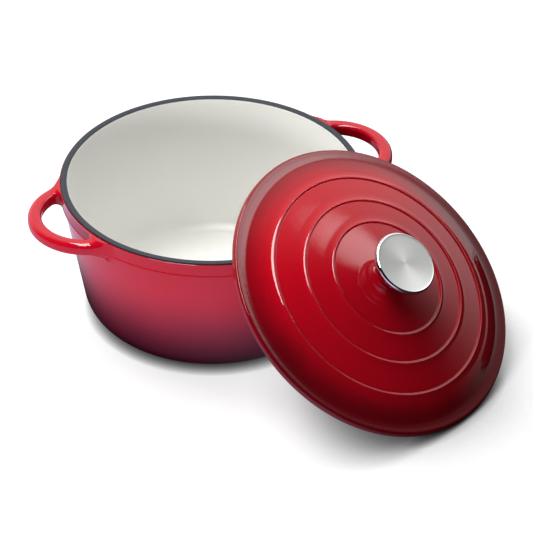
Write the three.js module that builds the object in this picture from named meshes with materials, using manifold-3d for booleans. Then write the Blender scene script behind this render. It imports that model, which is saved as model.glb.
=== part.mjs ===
// Enamelled cast iron dutch oven: a pot with two loop handles, and its lid leaning on the rim.
// Millimetres, +Z up. The origin is the centre of the pot's flat base, on the table.
// The loop handles lie along X. The lid leans from the table onto the pot's rim.

import * as THREE from 'three';
import { mergeVertices } from 'three/addons/utils/BufferGeometryUtils.js';
import Module from 'manifold-3d';

const wasm = await Module();
wasm.setup();

// ---- Driving dimensions of the pot ----

const RIM_RADIUS = 130;
const RIM_WIDTH = 5.6;
const RIM_COAT = 1.1;
const POT_HEIGHT = 129;
const COLLAR_HEIGHT = 15.6;
const COLLAR_STEP = 1.6;
const COLLAR_BULGE = 0.2;
const COLLAR_ROUND = 0.9;
const BASE_FLAT_RADIUS = 89;
const BASE_FILLET = 23.4;
const BASE_RELIEF = 1;
const FLOOR_HEIGHT = 7.4;

// ---- Driving dimensions of the loop handles ----

const HANDLE_CENTRE = 115.7;
const HANDLE_OUTER_RADIUS = 50.7;
const HANDLE_WIDTH = 11.7;
const HANDLE_THICKNESS = 11;
const HANDLE_DROP = 4;
const HANDLE_EDGE = 3;
const HANDLE_ROOT_FLARE = 7;
const HANDLE_INNER_CORNER = 5;
const HANDLE_EMBED = 0.95;

// ---- Driving dimensions of the lid ----

const LID_RADIUS = 132.75;
const LID_EDGE_CORNER = 0.9;
const LID_EDGE_ROUND = 5;
const LID_CROWN = 38.6;
const LID_DROP = 23.7;
const LID_DROP_RADIUS = 100;
const DOME_POWER = 1.45;
const DOME_FOOT_RADIUS = 114.5;
const DOME_FOOT_RISE = 2.8;
const INNER_TERRACE_RADIUS = 33.6;
const LID_WALL = 4.6;
const FLANGE_HEIGHT = 5.9;
const FLANGE_FALL = 0.5;
const FLANGE_INNER = 121;
const RIDGE_RADII = [101.2, 75.9, 52.5];
const RIDGE_HEIGHT = 1.4;
const RIDGE_SKIRT = 8;
const RIDGE_DROP = 1.6;
const LOCATING_RING_INNER = 116;
const LOCATING_RING_OUTER = 121;
const LOCATING_RING_DEPTH = 5.5;
const LOCATING_RING_CORNER = 1;
const HOLLOW_EDGE_RADIUS = 104;
const HOLLOW_FOOT_WIDTH = 6;
const HOLLOW_FOOT_HEIGHT = 6.2;
const LID_SEAT_INNER = 121.7;
const LID_SEAT_OUTER = 131.6;
const SCREW_HOLE_RADIUS = 3.2;

// ---- How the lid leans: tilt of its axis, heading of the lean, distance from the pot's axis ----

const LEAN_TILT = THREE.MathUtils.degToRad(38.2);
const LEAN_HEADING = THREE.MathUtils.degToRad(-62.4);
const LEAN_DISTANCE = 170;
const TABLE_CLEARANCE = 0.1;

// ---- Driving dimensions of the knob and its screw ----

const KNOB_SEAT_RADIUS = 16;
const STEM_HEIGHT = 16.9;
const STEM_BASE_RADIUS = 15.5;
const STEM_TOP_RADIUS = 26;
const STEM_FOOT_HEIGHT = 1.5;
const STEM_FLARE_END = THREE.MathUtils.degToRad(100);
const STEM_BORE = 5.2;
const STEM_BORE_DEPTH = 14;
const CAP_RADIUS = 28.45;
const CAP_HEIGHT = 5.4;
const CAP_DISH = 1.9;
const SCREW_RADIUS = 2.5;
const SCREW_HEAD_RADIUS = 5.4;
const SCREW_HEAD_HEIGHT = 3.2;
const SCREW_HEAD_FLAT = 0.6;
const SCREW_SLOT = 1.3;
const SCREW_SLOT_REACH = 7;
const SCREW_TIP_DEPTH = 2;
const SCREW_TIP_CHAMFER = 1;
const WASHER_RADIUS = 8;
const WASHER_THICKNESS = 1;

// ---- Layers and mesh fineness ----

const ENAMEL = 0.8;
const GAP = 0.3;
const CORE_INSET = ENAMEL + GAP;
const OVERSHOOT = 5;
const BODY_SIDES = 56;
const KNOB_SIDES = 30;
const SCREW_SIDES = 16;

// ---- Finishes ----

function finish(color, roughness, metalness) {
  return new THREE.MeshStandardMaterial({ color, roughness, metalness });
}

const redEnamel = finish(0xb01020, 0.15, 0);
const creamEnamel = finish(0xe4e1d6, 0.3, 0);
const blackEnamel = finish(0x454b54, 0.55, 0);
const castIron = finish(0x2c2b2b, 0.7, 0.6);
const brushedSteel = finish(0xc9c8c5, 0.32, 1);
const polishedSteel = finish(0xd6d6d8, 0.1, 1);
const platedSteel = finish(0xa9a9a6, 0.35, 1);

// ---- Outlines: lists of [radius, height] with the material on the left of the travel ----

function arc(centre, radius, from, to, steps) {
  const points = [];
  for (let i = 0; i <= steps; i += 1) {
    const angle = from + ((to - from) * i) / steps;
    points.push([centre[0] + radius * Math.cos(angle), centre[1] + radius * Math.sin(angle)]);
  }
  return points;
}

// Moves a line into the material by a distance, with mitred corners.
function inset(line, distance) {
  const normals = [];
  for (let i = 0; i + 1 < line.length; i += 1) {
    const travel = new THREE.Vector2(line[i + 1][0] - line[i][0], line[i + 1][1] - line[i][1]);
    travel.normalize();
    normals.push(new THREE.Vector2(-travel.y, travel.x));
  }
  return line.map(([x, y], i) => {
    const before = normals[Math.max(i - 1, 0)];
    const after = normals[Math.min(i, normals.length - 1)];
    const mitre = before.clone().add(after);
    mitre.multiplyScalar(distance / (1 + before.dot(after)));
    return [x + mitre.x, y + mitre.y];
  });
}

// The closed outline of an enamel coat whose outer surface is the line.
function coat(line) {
  return [...line, ...inset(line, ENAMEL).reverse()];
}

// Angle from the vertical of the wall that leaves a fillet smoothly and ends at a point.
function wallTaper(centre, radius, end) {
  const across = end[0] - centre[0];
  const up = end[1] - centre[1];
  return Math.atan2(across, up) - Math.asin(radius / Math.hypot(across, up));
}

function revolve(outline, sides) {
  const points = outline.map(([x, y]) => new THREE.Vector2(x, y));
  const first = points[0];
  const last = points[points.length - 1];
  if (first.x !== 0 || last.x !== 0) points.push(first.clone());
  const geometry = new THREE.LatheGeometry(points, sides);
  geometry.rotateX(Math.PI / 2);
  return geometry;
}

// ---- Booleans ----

function solid(geometry) {
  const bare = geometry.clone();
  bare.deleteAttribute('normal');
  bare.deleteAttribute('uv');
  const merged = mergeVertices(bare, 1e-4);
  const vertProperties = new Float32Array(merged.attributes.position.array);
  const triVerts = new Uint32Array(merged.index.array);
  return new wasm.Manifold(new wasm.Mesh({ numProp: 3, vertProperties, triVerts }));
}

function geometryOf(body) {
  const mesh = body.getMesh();
  const geometry = new THREE.BufferGeometry();
  const positions = new Float32Array(mesh.vertProperties);
  geometry.setAttribute('position', new THREE.BufferAttribute(positions, 3));
  geometry.setIndex(new THREE.BufferAttribute(new Uint32Array(mesh.triVerts), 1));
  geometry.computeVertexNormals();
  return geometry;
}

// ---- The pot's outlines ----

const filletCentre = [BASE_FLAT_RADIUS, BASE_RELIEF + BASE_FILLET];
const coatTop = POT_HEIGHT - RIM_COAT - GAP;

// Outside of the pot, from the base's edge up to just under the rim.
function potOutside() {
  const wallTop = [RIM_RADIUS - COLLAR_STEP, POT_HEIGHT - COLLAR_HEIGHT];
  const taper = wallTaper(filletCentre, BASE_FILLET, wallTop);
  const collarRadius = RIM_RADIUS + COLLAR_BULGE;
  return [
    ...arc(filletCentre, BASE_FILLET, -Math.PI / 2, -taper, 4),
    wallTop,
    [collarRadius - COLLAR_ROUND / 2, wallTop[1] + COLLAR_ROUND / 2],
    [collarRadius, wallTop[1] + 2 * COLLAR_ROUND],
    [RIM_RADIUS, coatTop],
  ];
}

// Inside of the pot, from just under the rim down the wall and across the floor.
function potInside() {
  const top = [RIM_RADIUS - RIM_WIDTH, coatTop];
  const radius = filletCentre[1] - FLOOR_HEIGHT;
  const taper = wallTaper(filletCentre, radius, top);
  return [top, ...arc(filletCentre, radius, -taper, -Math.PI / 2, 3), [0, FLOOR_HEIGHT]];
}

// The pot's outside as a solid without its cavity, moved in by a distance.
function potEnvelope(distance, bottom, top) {
  const side = inset(potOutside(), distance);
  const baseRadius = side[0][0] - distance;
  const topRadius = side[side.length - 1][0];
  return solid(revolve([[0, bottom], [baseRadius, bottom], ...side, [topRadius, top], [0, top]], BODY_SIDES));
}

function potCavity() {
  const line = inset(potInside(), CORE_INSET).reverse();
  const mouth = line[line.length - 1];
  line[0][0] = 0;
  return solid(revolve([...line, [mouth[0], mouth[1] + OVERSHOOT], [0, mouth[1] + OVERSHOOT]], BODY_SIDES));
}

// ---- Loop handles: a flat outline around the finger gap, with rounded edges ----

// Upper crossing of a circle about the pot's axis with one about the handle's centre.
function crossing(fromAxis, fromHandle) {
  const x = (fromAxis ** 2 - fromHandle ** 2 + HANDLE_CENTRE ** 2) / (2 * HANDLE_CENTRE);
  return [x, Math.sqrt(fromAxis ** 2 - x ** 2)];
}

function handleOutline(distance) {
  const outer = HANDLE_OUTER_RADIUS - distance;
  const inner = HANDLE_OUTER_RADIUS - HANDLE_WIDTH + distance;
  const flare = HANDLE_ROOT_FLARE + distance;
  const corner = HANDLE_INNER_CORNER + distance;
  const centre = [HANDLE_CENTRE, 0];
  const wall = RIM_RADIUS - distance;
  const flareAt = crossing(wall + flare, outer + flare);
  const cornerAt = crossing(wall + corner, inner - corner);
  const flareStart = Math.atan2(-flareAt[1], HANDLE_CENTRE - flareAt[0]);
  const flareEnd = Math.atan2(-flareAt[1], -flareAt[0]);
  const cornerStart = Math.atan2(cornerAt[1], cornerAt[0]) + Math.PI;
  const cornerEnd = Math.atan2(cornerAt[1], cornerAt[0] - HANDLE_CENTRE);
  const outside = [
    ...arc(centre, outer, 0, flareStart + Math.PI, 6),
    ...arc(flareAt, flare, flareStart, flareEnd, 2).slice(1),
  ];
  const inside = [
    ...arc(cornerAt, corner, cornerStart, cornerEnd, 3),
    ...arc(centre, inner, cornerEnd, 0, 5).slice(1),
  ];
  const rootEnds = [outside[outside.length - 1], inside[0]];
  const embedded = rootEnds.map(([x, y]) => [x * HANDLE_EMBED, y * HANDLE_EMBED]);
  const half = [...outside, ...embedded, ...inside];
  const mirrored = half.slice(1, -1).map(([x, y]) => [x, -y]).reverse();
  return [...half, ...mirrored].map(([x, y]) => new THREE.Vector2(x, y));
}

function handle(distance, side) {
  const shape = new THREE.Shape(handleOutline(distance + HANDLE_EDGE));
  const geometry = new THREE.ExtrudeGeometry(shape, {
    depth: HANDLE_THICKNESS - 2 * (distance + HANDLE_EDGE),
    bevelThickness: HANDLE_EDGE,
    bevelSize: HANDLE_EDGE,
    bevelSegments: 2,
    curveSegments: 1,
  });
  geometry.translate(0, 0, POT_HEIGHT - HANDLE_DROP - HANDLE_THICKNESS + distance + HANDLE_EDGE);
  if (side < 0) geometry.rotateZ(Math.PI);
  return solid(geometry);
}

function potWithHandles(distance, bottom, top) {
  return potEnvelope(distance, bottom, top).add(handle(distance, 1)).add(handle(distance, -1));
}

// ---- The pot's pieces ----

function potCasting() {
  return geometryOf(potWithHandles(CORE_INSET, 0, coatTop).subtract(potCavity()));
}

function potExteriorEnamel() {
  const outside = potWithHandles(0, BASE_RELIEF, coatTop);
  return geometryOf(outside.subtract(potWithHandles(ENAMEL, -OVERSHOOT, coatTop + OVERSHOOT)));
}

function potInteriorEnamel() {
  const line = potInside();
  const underside = inset(line, ENAMEL).reverse();
  underside[0][0] = 0;
  return revolve([...underside, ...line], BODY_SIDES);
}

function potRimEnamel() {
  const inner = RIM_RADIUS - RIM_WIDTH;
  const bottom = POT_HEIGHT - RIM_COAT;
  const round = RIM_COAT / 2;
  return revolve([
    [inner, bottom],
    [RIM_RADIUS, bottom],
    [RIM_RADIUS, POT_HEIGHT - round],
    [RIM_RADIUS - round, POT_HEIGHT],
    [inner + round, POT_HEIGHT],
    [inner, POT_HEIGHT - round],
  ], BODY_SIDES);
}

// ---- The lid's outlines, about its own axis with its seat at height 0 ----

function domeHeight(radius) {
  const clamped = Math.max(radius, KNOB_SEAT_RADIUS);
  return LID_CROWN - LID_DROP * (clamped / LID_DROP_RADIUS) ** DOME_POWER;
}

const seatHeight = domeHeight(0);
const undersideHeight = seatHeight - LID_WALL;

// One ridge, from the foot of its long outer skirt to the foot of its short inner drop.
function ridge(crest) {
  return [
    [crest + RIDGE_SKIRT, domeHeight(crest + RIDGE_SKIRT)],
    [crest, domeHeight(crest) + RIDGE_HEIGHT],
    [crest - RIDGE_DROP, domeHeight(crest - RIDGE_DROP)],
  ];
}

// Rounded top of the lid's edge, as a quarter of an ellipse.
function lidEdge() {
  const height = (FLANGE_HEIGHT - FLANGE_FALL) / 2;
  return [0, 1, 2].map((step) => {
    const angle = (step * Math.PI) / 4;
    const radius = LID_RADIUS - LID_EDGE_ROUND * (1 - Math.cos(angle));
    return [radius, height * (1 + Math.sin(angle))];
  });
}

// Hollow curve from the flange up into the foot of the dome.
function domeFoot() {
  return [0, 0.5, 1].map((share) => {
    const radius = FLANGE_INNER + (DOME_FOOT_RADIUS - FLANGE_INNER) * share;
    return [radius, FLANGE_HEIGHT + DOME_FOOT_RISE * share ** 2];
  });
}

// Top of the lid, from the edge over the flange and the ridged dome to the screw hole.
function lidTop() {
  return [
    [LID_RADIUS, LID_EDGE_CORNER],
    ...lidEdge(),
    ...domeFoot(),
    ...RIDGE_RADII.flatMap(ridge),
    [INNER_TERRACE_RADIUS, domeHeight(INNER_TERRACE_RADIUS)],
    [KNOB_SEAT_RADIUS, seatHeight],
    [SCREW_HOLE_RADIUS, seatHeight],
  ];
}

// Hollow underside of the lid, from the screw hole out and down over the locating ring.
function lidHollow() {
  const steps = 4;
  const line = [[SCREW_HOLE_RADIUS, undersideHeight]];
  for (let i = 0; i <= steps; i += 1) {
    const radius = KNOB_SEAT_RADIUS + ((HOLLOW_EDGE_RADIUS - KNOB_SEAT_RADIUS) * i) / steps;
    line.push([radius, domeHeight(radius) - LID_WALL]);
  }
  const corner = LOCATING_RING_CORNER;
  line.push(
    [LOCATING_RING_INNER - HOLLOW_FOOT_WIDTH, HOLLOW_FOOT_HEIGHT],
    [LOCATING_RING_INNER - corner, corner],
    [LOCATING_RING_INNER, corner - LOCATING_RING_DEPTH],
    [LOCATING_RING_INNER + corner, -LOCATING_RING_DEPTH],
    [LOCATING_RING_OUTER - corner, -LOCATING_RING_DEPTH],
    [LOCATING_RING_OUTER, corner - LOCATING_RING_DEPTH],
    [LOCATING_RING_OUTER + GAP, 0],
  );
  return line;
}

// ---- The lid's pieces ----

function lidCasting() {
  const underside = [...lidHollow(), [LID_SEAT_OUTER, 0]];
  return revolve([...inset(underside, CORE_INSET), ...inset(lidTop(), CORE_INSET)], BODY_SIDES);
}

function lidExteriorEnamel() {
  return revolve(coat(lidTop()), BODY_SIDES);
}

function lidInteriorEnamel() {
  return revolve(coat(lidHollow()), BODY_SIDES);
}

function lidRimEnamel() {
  return revolve(coat([[LID_SEAT_INNER, 0], [LID_SEAT_OUTER, 0]]), BODY_SIDES);
}

// ---- The knob's pieces, about the lid's axis ----

const stemBottom = seatHeight + GAP;
const stemTop = stemBottom + STEM_HEIGHT;

function knobStem() {
  const boreTop = stemBottom + STEM_BORE_DEPTH;
  const centre = [STEM_TOP_RADIUS, stemBottom + STEM_FOOT_HEIGHT];
  const flare = arc(centre, STEM_TOP_RADIUS - STEM_BASE_RADIUS, Math.PI, STEM_FLARE_END, 5);
  const widest = flare[flare.length - 1];
  return revolve([
    [0, boreTop],
    [STEM_BORE, boreTop],
    [STEM_BORE, stemBottom],
    [STEM_BASE_RADIUS, stemBottom],
    ...flare,
    [widest[0], stemTop],
    [0, stemTop],
  ], KNOB_SIDES);
}

function knobCap() {
  const bottom = stemTop + GAP;
  const edge = CAP_HEIGHT / 2;
  const middle = bottom + edge;
  return revolve([
    [0, bottom],
    [CAP_RADIUS - edge, bottom],
    ...arc([CAP_RADIUS - edge, middle], edge, -Math.PI / 4, Math.PI / 2, 4),
    [CAP_RADIUS / 2, middle + edge - 0.7 * CAP_DISH],
    [0, middle + edge - CAP_DISH],
  ], KNOB_SIDES);
}

function knobInsert() {
  const outer = STEM_BORE - GAP;
  const inner = SCREW_RADIUS + GAP;
  const top = stemBottom + STEM_BORE_DEPTH - GAP;
  return revolve([[inner, stemBottom], [outer, stemBottom], [outer, top], [inner, top]], SCREW_SIDES);
}

const washerTop = undersideHeight - GAP;
const headTop = washerTop - WASHER_THICKNESS - GAP;

function knobWasher() {
  const bottom = washerTop - WASHER_THICKNESS;
  const hole = SCREW_RADIUS + GAP;
  return revolve([
    [hole, bottom],
    [WASHER_RADIUS, bottom],
    [WASHER_RADIUS, washerTop],
    [hole, washerTop],
  ], SCREW_SIDES);
}

function knobScrew() {
  const headBottom = headTop - SCREW_HEAD_HEIGHT;
  const tip = stemBottom + STEM_BORE_DEPTH - SCREW_TIP_DEPTH;
  const body = solid(revolve([
    [0, headBottom],
    [SCREW_HEAD_FLAT * SCREW_HEAD_RADIUS, headBottom],
    [SCREW_HEAD_RADIUS, headTop - SCREW_HEAD_HEIGHT / 2],
    [SCREW_HEAD_RADIUS, headTop],
    [SCREW_RADIUS, headTop],
    [SCREW_RADIUS, tip - SCREW_TIP_CHAMFER],
    [SCREW_RADIUS - SCREW_TIP_CHAMFER, tip],
    [0, tip],
  ], SCREW_SIDES));
  const depth = SCREW_HEAD_HEIGHT;
  const slotX = new THREE.BoxGeometry(SCREW_SLOT_REACH, SCREW_SLOT, depth).translate(0, 0, headBottom);
  const slotY = new THREE.BoxGeometry(SCREW_SLOT, SCREW_SLOT_REACH, depth).translate(0, 0, headBottom);
  return geometryOf(body.subtract(solid(slotX)).subtract(solid(slotY)));
}

// ---- Assembly ----

function piece(name, geometry, material) {
  const mesh = new THREE.Mesh(geometry, material);
  mesh.name = name;
  return mesh;
}

const pot = new THREE.Group();
pot.add(
  piece('pot_casting', potCasting(), castIron),
  piece('pot_exterior_enamel', potExteriorEnamel(), redEnamel),
  piece('pot_interior_enamel', potInteriorEnamel(), creamEnamel),
  piece('pot_rim_enamel', potRimEnamel(), blackEnamel),
);

const lid = new THREE.Group();
lid.add(
  piece('lid_casting', lidCasting(), castIron),
  piece('lid_exterior_enamel', lidExteriorEnamel(), redEnamel),
  piece('lid_interior_enamel', lidInteriorEnamel(), creamEnamel),
  piece('lid_rim_enamel', lidRimEnamel(), blackEnamel),
  piece('knob_stem', knobStem(), polishedSteel),
  piece('knob_cap', knobCap(), brushedSteel),
  piece('knob_threaded_insert', knobInsert(), platedSteel),
  piece('knob_washer', knobWasher(), platedSteel),
  piece('knob_screw', knobScrew(), platedSteel),
);

// The lid stands on the lowest point of its edge and leans with its locating ring on the rim.
const edgeDrop = LID_RADIUS * Math.sin(LEAN_TILT) - LID_EDGE_CORNER * Math.cos(LEAN_TILT);
lid.position.set(
  LEAN_DISTANCE * Math.cos(LEAN_HEADING),
  LEAN_DISTANCE * Math.sin(LEAN_HEADING),
  edgeDrop + TABLE_CLEARANCE,
);
lid.rotation.set(0, LEAN_TILT, LEAN_HEADING, 'ZYX');

const group = new THREE.Group();
group.add(pot, lid);

export default group;
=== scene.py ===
"""Enamelled cast iron dutch oven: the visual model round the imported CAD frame.

Lengths are in millimetres up to the moment that a mesh is made, and in metres in the
materials, the floor, the lights and the camera. The pot stands on the floor at the
origin with its handles along X, and the lid leans on its rim.
"""

import math

import bpy
import numpy as np
from mathutils import Matrix, Vector


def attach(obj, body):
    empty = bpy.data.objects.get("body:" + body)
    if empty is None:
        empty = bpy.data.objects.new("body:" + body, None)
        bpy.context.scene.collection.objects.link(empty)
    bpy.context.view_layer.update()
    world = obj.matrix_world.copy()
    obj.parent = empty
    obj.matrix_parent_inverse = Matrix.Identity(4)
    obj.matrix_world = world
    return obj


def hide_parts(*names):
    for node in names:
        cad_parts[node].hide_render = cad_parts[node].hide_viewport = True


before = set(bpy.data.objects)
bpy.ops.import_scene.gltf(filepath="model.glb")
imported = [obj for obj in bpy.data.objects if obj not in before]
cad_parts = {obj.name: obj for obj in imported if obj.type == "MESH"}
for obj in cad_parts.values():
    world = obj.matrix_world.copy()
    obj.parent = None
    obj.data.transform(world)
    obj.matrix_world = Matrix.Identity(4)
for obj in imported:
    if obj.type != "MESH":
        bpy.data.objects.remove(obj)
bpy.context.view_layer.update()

MM = 0.001

# ---- Sizes of the pot ----

RIM_RADIUS = 130.0
RIM_WIDTH = 5.6
POT_HEIGHT = 129.0
COLLAR_BOTTOM = 113.4
COLLAR_RADIUS = 129.75
COLLAR_BULGE = 0.3
COLLAR_EDGE = 0.8
COLLAR_FILLET = 0.9
COLLAR_STEP = 1.6
BEAD_RADIUS = 1.5
BEAD_OUT = 0.6
BEAD_FILLET = 0.4
RIM_BOTTOM = 127.7
# The red skin is left open at its top, and the collar it is taken from runs on past it.
SKIN_TOP = 127.9
SKIN_OVERRUN = 1.6
BASE_RADIUS = 89.0
BASE_HEIGHT = 1.0
BASE_FILLET = 23.4
FLOOR_HEIGHT = 7.4
INNER_FILLET = 14.0
INNER_FOOT = 103.3
LIP_HEIGHT = 128.2
COAT = 0.7
CORE_GAP = 0.1

# ---- Sizes of the loop handles ----

HANDLE_CENTRE = 115.7
HANDLE_OUTER = 50.7
HANDLE_WIDTH = 11.7
HANDLE_TOP = 125.0
HANDLE_THICKNESS = 11.0
HANDLE_EDGES = {"outer_top": 4.6, "outer_bottom": 3.6, "inner_top": 3.4, "inner_bottom": 3.2}
FLARE_OUTSIDE = 12.0
FLARE_INSIDE = 8.5
# The share of the flare that is lost near the top, and where that starts.
FLARE_FADE = 0.1
FLARE_FADE_START = 118.0
FLARE_FADE_RISE = 10.0
# Outside the rim, the flare ends this far below the top of the skin.
ROOT_DROP = 0.4
ROOT_OUT = 0.05

# ---- Sizes of the lid, about its own axis with its seat at height 0 ----

LID_RADIUS = 132.75
LID_CROWN = 38.6
LID_DROP = 23.7
LID_DROP_REACH = 100
LID_DROP_POWER = 1.45
KNOB_SEAT = 16.0
FLANGE_HEIGHT = 5.9
FLANGE_INSIDE = 122.4
FLANGE_EDGE = 0.9
RIDGES = (52.5, 75.9, 101.2)
RIDGE_HEIGHT = 1.4
RIDGE_SKIRT = 8.0
RIDGE_DROP = 1.9
RIDGE_FLANK_RISE = 0.95
RIDGE_FLANK_ANGLE = math.radians(35.1)
LID_WALL = 4.6
RING_INNER = 116.0
RING_OUTER = 121.0
RING_DEPTH = 5.5
SEAT_OUTER = 131.6

# ---- How the lid leans ----

LEAN_TILT = math.radians(38.2)
LEAN_HEADING = math.radians(-62.4)
LEAN_DISTANCE = 170.0
LEAN_CLEARANCE = 0.1
LEAN_HEIGHT = LID_RADIUS * math.sin(LEAN_TILT) - FLANGE_EDGE * math.cos(LEAN_TILT) + LEAN_CLEARANCE

# ---- Sizes of the knob ----

STEM_HEIGHT = 16.9
STEM_BASE = 15.5
STEM_FLARE = 26.0
STEM_GAP = 0.3
CAP_GAP = 0.1
CAP_RADIUS = 28.45
CAP_HEIGHT = 5.4
CAP_DISH = 1.3
CAP_LIP = 1.1
SCREW_HEAD = 5.4
SCREW_HEAD_HEIGHT = 3.2
SCREW_RADIUS = 2.5
SCREW_REACH = 12.0
SLOT_REACH = 3.3
SLOT_HALF_WIDTH = 0.6
SLOT_DEPTH = 1.7
WASHER_RADIUS = 8.0
WASHER_HOLE = 2.8
WASHER_THICKNESS = 1.1
WASHER_GAP = 0.1

lean_foot = Vector((math.cos(LEAN_HEADING), math.sin(LEAN_HEADING), 0)) * LEAN_DISTANCE * MM
lean = (
    Matrix.Translation(lean_foot)
    @ Matrix.Translation((0, 0, LEAN_HEIGHT * MM))
    @ Matrix.Rotation(LEAN_HEADING, 4, "Z")
    @ Matrix.Rotation(LEAN_TILT, 4, "Y")
)
upright = Matrix.Identity(4)


# ---- Outlines: lists of (radius, height) with the material on the left of the travel ----


ROUND_MOST = 0.49
SUPPORT_MOST = 0.48
SUPPORT_ROOM = 0.6
SUPPORT_GAP = 0.15


def rounded(corners, closed=False, turn=7.0):
    """A dense line through corners (x, y, radius), each rounded in steps of at most a turn in degrees.

    A round takes less than half of the edges beside it. Where an edge has room left, a support
    point stands just past the end of the round, so that the shading stays flat along the edge.
    """
    count = len(corners)
    line = []
    for i, (x, y, radius) in enumerate(corners):
        here = np.array((x, y), float)
        if radius == 0 or (not closed and i in (0, count - 1)):
            line.append(here)
            continue
        back = np.array(corners[i - 1][:2], float) - here
        ahead = np.array(corners[(i + 1) % count][:2], float) - here
        reach_back, reach_ahead = np.hypot(*back), np.hypot(*ahead)
        back, ahead = back / reach_back, ahead / reach_ahead
        half = math.acos(max(-1.0, min(1.0, float(back @ ahead)))) / 2
        reach = min(radius / math.tan(half), ROUND_MOST * reach_back, ROUND_MOST * reach_ahead)
        radius = reach * math.tan(half)
        middle = here + (back + ahead) / np.linalg.norm(back + ahead) * radius / math.sin(half)
        start, end = here + back * reach, here + ahead * reach
        a = math.atan2(*(start - middle)[::-1])
        sweep = (math.atan2(*(end - middle)[::-1]) - a + math.pi) % (2 * math.pi) - math.pi
        steps = max(2, math.ceil(math.degrees(abs(sweep)) / turn))
        if reach < SUPPORT_MOST * reach_back and reach_back - reach > SUPPORT_ROOM:
            line.append(start + back * SUPPORT_GAP)
        for k in range(steps + 1):
            angle = a + sweep * k / steps
            line.append(middle + radius * np.array((math.cos(angle), math.sin(angle))))
        if reach < SUPPORT_MOST * reach_ahead and reach_ahead - reach > SUPPORT_ROOM:
            line.append(end + ahead * SUPPORT_GAP)
    return np.array(line)


def dome(radius):
    """Height of the lid's plain dome at a radius."""
    return LID_CROWN - LID_DROP * (np.maximum(radius, KNOB_SEAT) / LID_DROP_REACH) ** LID_DROP_POWER


def inward(line, distance):
    """The line moved into the material by a distance."""
    travel = np.gradient(line, axis=0)
    travel /= np.maximum(np.hypot(*travel.T), 1e-9)[:, None]
    return line + distance * np.stack((-travel[:, 1], travel[:, 0]), axis=1)


def coat_of(line):
    """The closed outline of a thin coat whose outer face is the line."""
    return np.concatenate((line, inward(line, COAT)[::-1]))


# ---- Meshes ----


def add_object(name, data):
    """An object with this data, linked to the scene."""
    item = bpy.data.objects.new(name, data)
    bpy.context.scene.collection.objects.link(item)
    return item


def new_piece(name, points, faces, body, materials, place=upright, normals=None, replaces=()):
    """A mesh piece from points in millimetres, put in its place and riding on a CAD body."""
    mesh = bpy.data.meshes.new(name)
    mesh.from_pydata((np.asarray(points, float) * MM).tolist(), [], faces)
    mesh.validate()
    mesh.transform(place)
    mesh.shade_smooth()
    if normals is not None:
        mesh.normals_split_custom_set_from_vertices(normals.tolist())
    for material in materials:
        mesh.materials.append(material)
    piece = add_object(name, mesh)
    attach(piece, body)
    if replaces:
        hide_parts(*replaces)
    return piece


def revolve(outline, sides):
    """Points and faces of a closed outline turned round the axis."""
    outline = np.asarray(outline, float)
    angles = np.arange(sides) * 2 * math.pi / sides
    rings, points = [], []
    for radius, height in outline:
        if radius < 1e-6:
            rings.append([len(points)] * sides)
            points.append((0.0, 0.0, height))
        else:
            rings.append(list(range(len(points), len(points) + sides)))
            points.extend((radius * math.cos(a), radius * math.sin(a), height) for a in angles)
    faces = []
    count = len(rings)
    for i in range(count):
        low, high = rings[i], rings[(i + 1) % count]
        if low[0] == low[1] and high[0] == high[1]:
            continue
        for k in range(sides):
            n = (k + 1) % sides
            face = [low[k], low[n], high[n], high[k]]
            faces.append(list(dict.fromkeys(face)))
    return points, faces


def lathe(name, outline, body, material, place=upright, sides=192, replaces=()):
    """A piece turned from a closed outline."""
    points, faces = revolve(outline, sides)
    return new_piece(name, points, faces, body, [material], place, replaces=replaces)


# ---- The pot's skin: a distance field meshed on a grid round the axis ----


def round_union(a, b, radius):
    """Two distance fields joined with a fillet of that radius."""
    near = np.hypot(np.maximum(radius - a, 0), np.maximum(radius - b, 0))
    return np.maximum(radius, np.minimum(a, b)) - near


def rounded_box(across, up, edge):
    """Distance to a box, from the distances past its two kinds of side, with rounded edges."""
    a, u = across + edge, up + edge
    return np.hypot(np.maximum(a, 0), np.maximum(u, 0)) + np.minimum(np.maximum(a, u), 0) - edge


def eased(share):
    """A share held between 0 and 1, with a gentle start and end."""
    share = np.clip(share, 0, 1)
    return share * share * (3 - 2 * share)


fillet_height = BASE_HEIGHT + BASE_FILLET
wall_run = RIM_RADIUS - COLLAR_STEP - BASE_RADIUS
wall_rise = COLLAR_BOTTOM - fillet_height
wall_taper = math.atan2(wall_run, wall_rise) - math.asin(BASE_FILLET / math.hypot(wall_run, wall_rise))


def body_distance(radius, height):
    """Distance to the outside of the pot without its handles: rounded base, tapered wall and collar."""
    out, up = radius - BASE_RADIUS, height - fillet_height
    along = out * math.sin(wall_taper) + up * math.cos(wall_taper)
    across = out * math.cos(wall_taper) - up * math.sin(wall_taper)
    corner = (along < 0) & (out > 0)
    wall = np.where(corner, np.hypot(out, up), np.maximum(across, -up)) - BASE_FILLET
    middle = (COLLAR_BOTTOM + SKIN_TOP + SKIN_OVERRUN) / 2
    half = (SKIN_TOP + SKIN_OVERRUN - COLLAR_BOTTOM) / 2
    edge = COLLAR_RADIUS + COLLAR_BULGE * (1 - ((height - middle) / half) ** 2)
    collar = rounded_box(radius - edge, np.abs(height - middle) - half, COLLAR_EDGE)
    bead_out = radius - COLLAR_RADIUS - BEAD_OUT + BEAD_RADIUS
    bead_up = height - COLLAR_BOTTOM - BEAD_RADIUS
    bead = np.hypot(bead_out, bead_up) - BEAD_RADIUS
    return round_union(round_union(wall, collar, COLLAR_FILLET), bead, BEAD_FILLET)


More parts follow.
